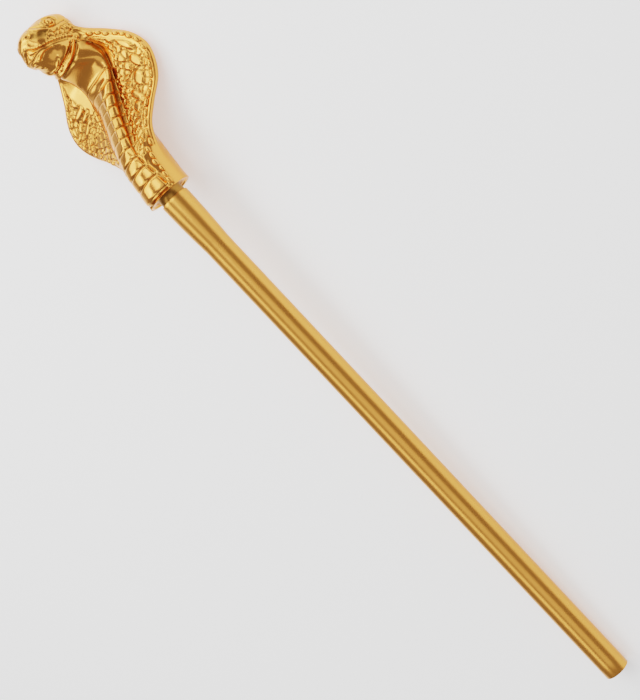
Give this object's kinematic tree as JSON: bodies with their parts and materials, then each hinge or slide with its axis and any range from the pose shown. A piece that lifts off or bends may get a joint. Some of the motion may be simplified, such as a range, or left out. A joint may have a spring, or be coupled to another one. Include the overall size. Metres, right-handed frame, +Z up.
{
  "type": "cobra-headed costume sceptre",
  "caption": "Long straight tube sceptre topped by a hooded cobra head with belly bands, scaled hood and facing snout, lying on its back.",
  "frame": {"origin": "on the ground under the middle of the bounding box, with the sceptre lying on the cobra's back", "axes": "+X along the sceptre towards the cobra's head, +Y towards the cobra's right, +Z up, which is the way the cobra faces"},
  "size_m": [0.8756, 0.1572, 0.0674],
  "materials": {
    "head_gold": "metallised gold over moulded plastic, glossy, darker in the recesses",
    "shaft_gold": "metallised gold over extruded plastic tube, satin"
  },
  "bodies": {
    "root": {"cobra_head": "head_gold", "shaft": "shaft_gold"}
  },
  "joints": []
}
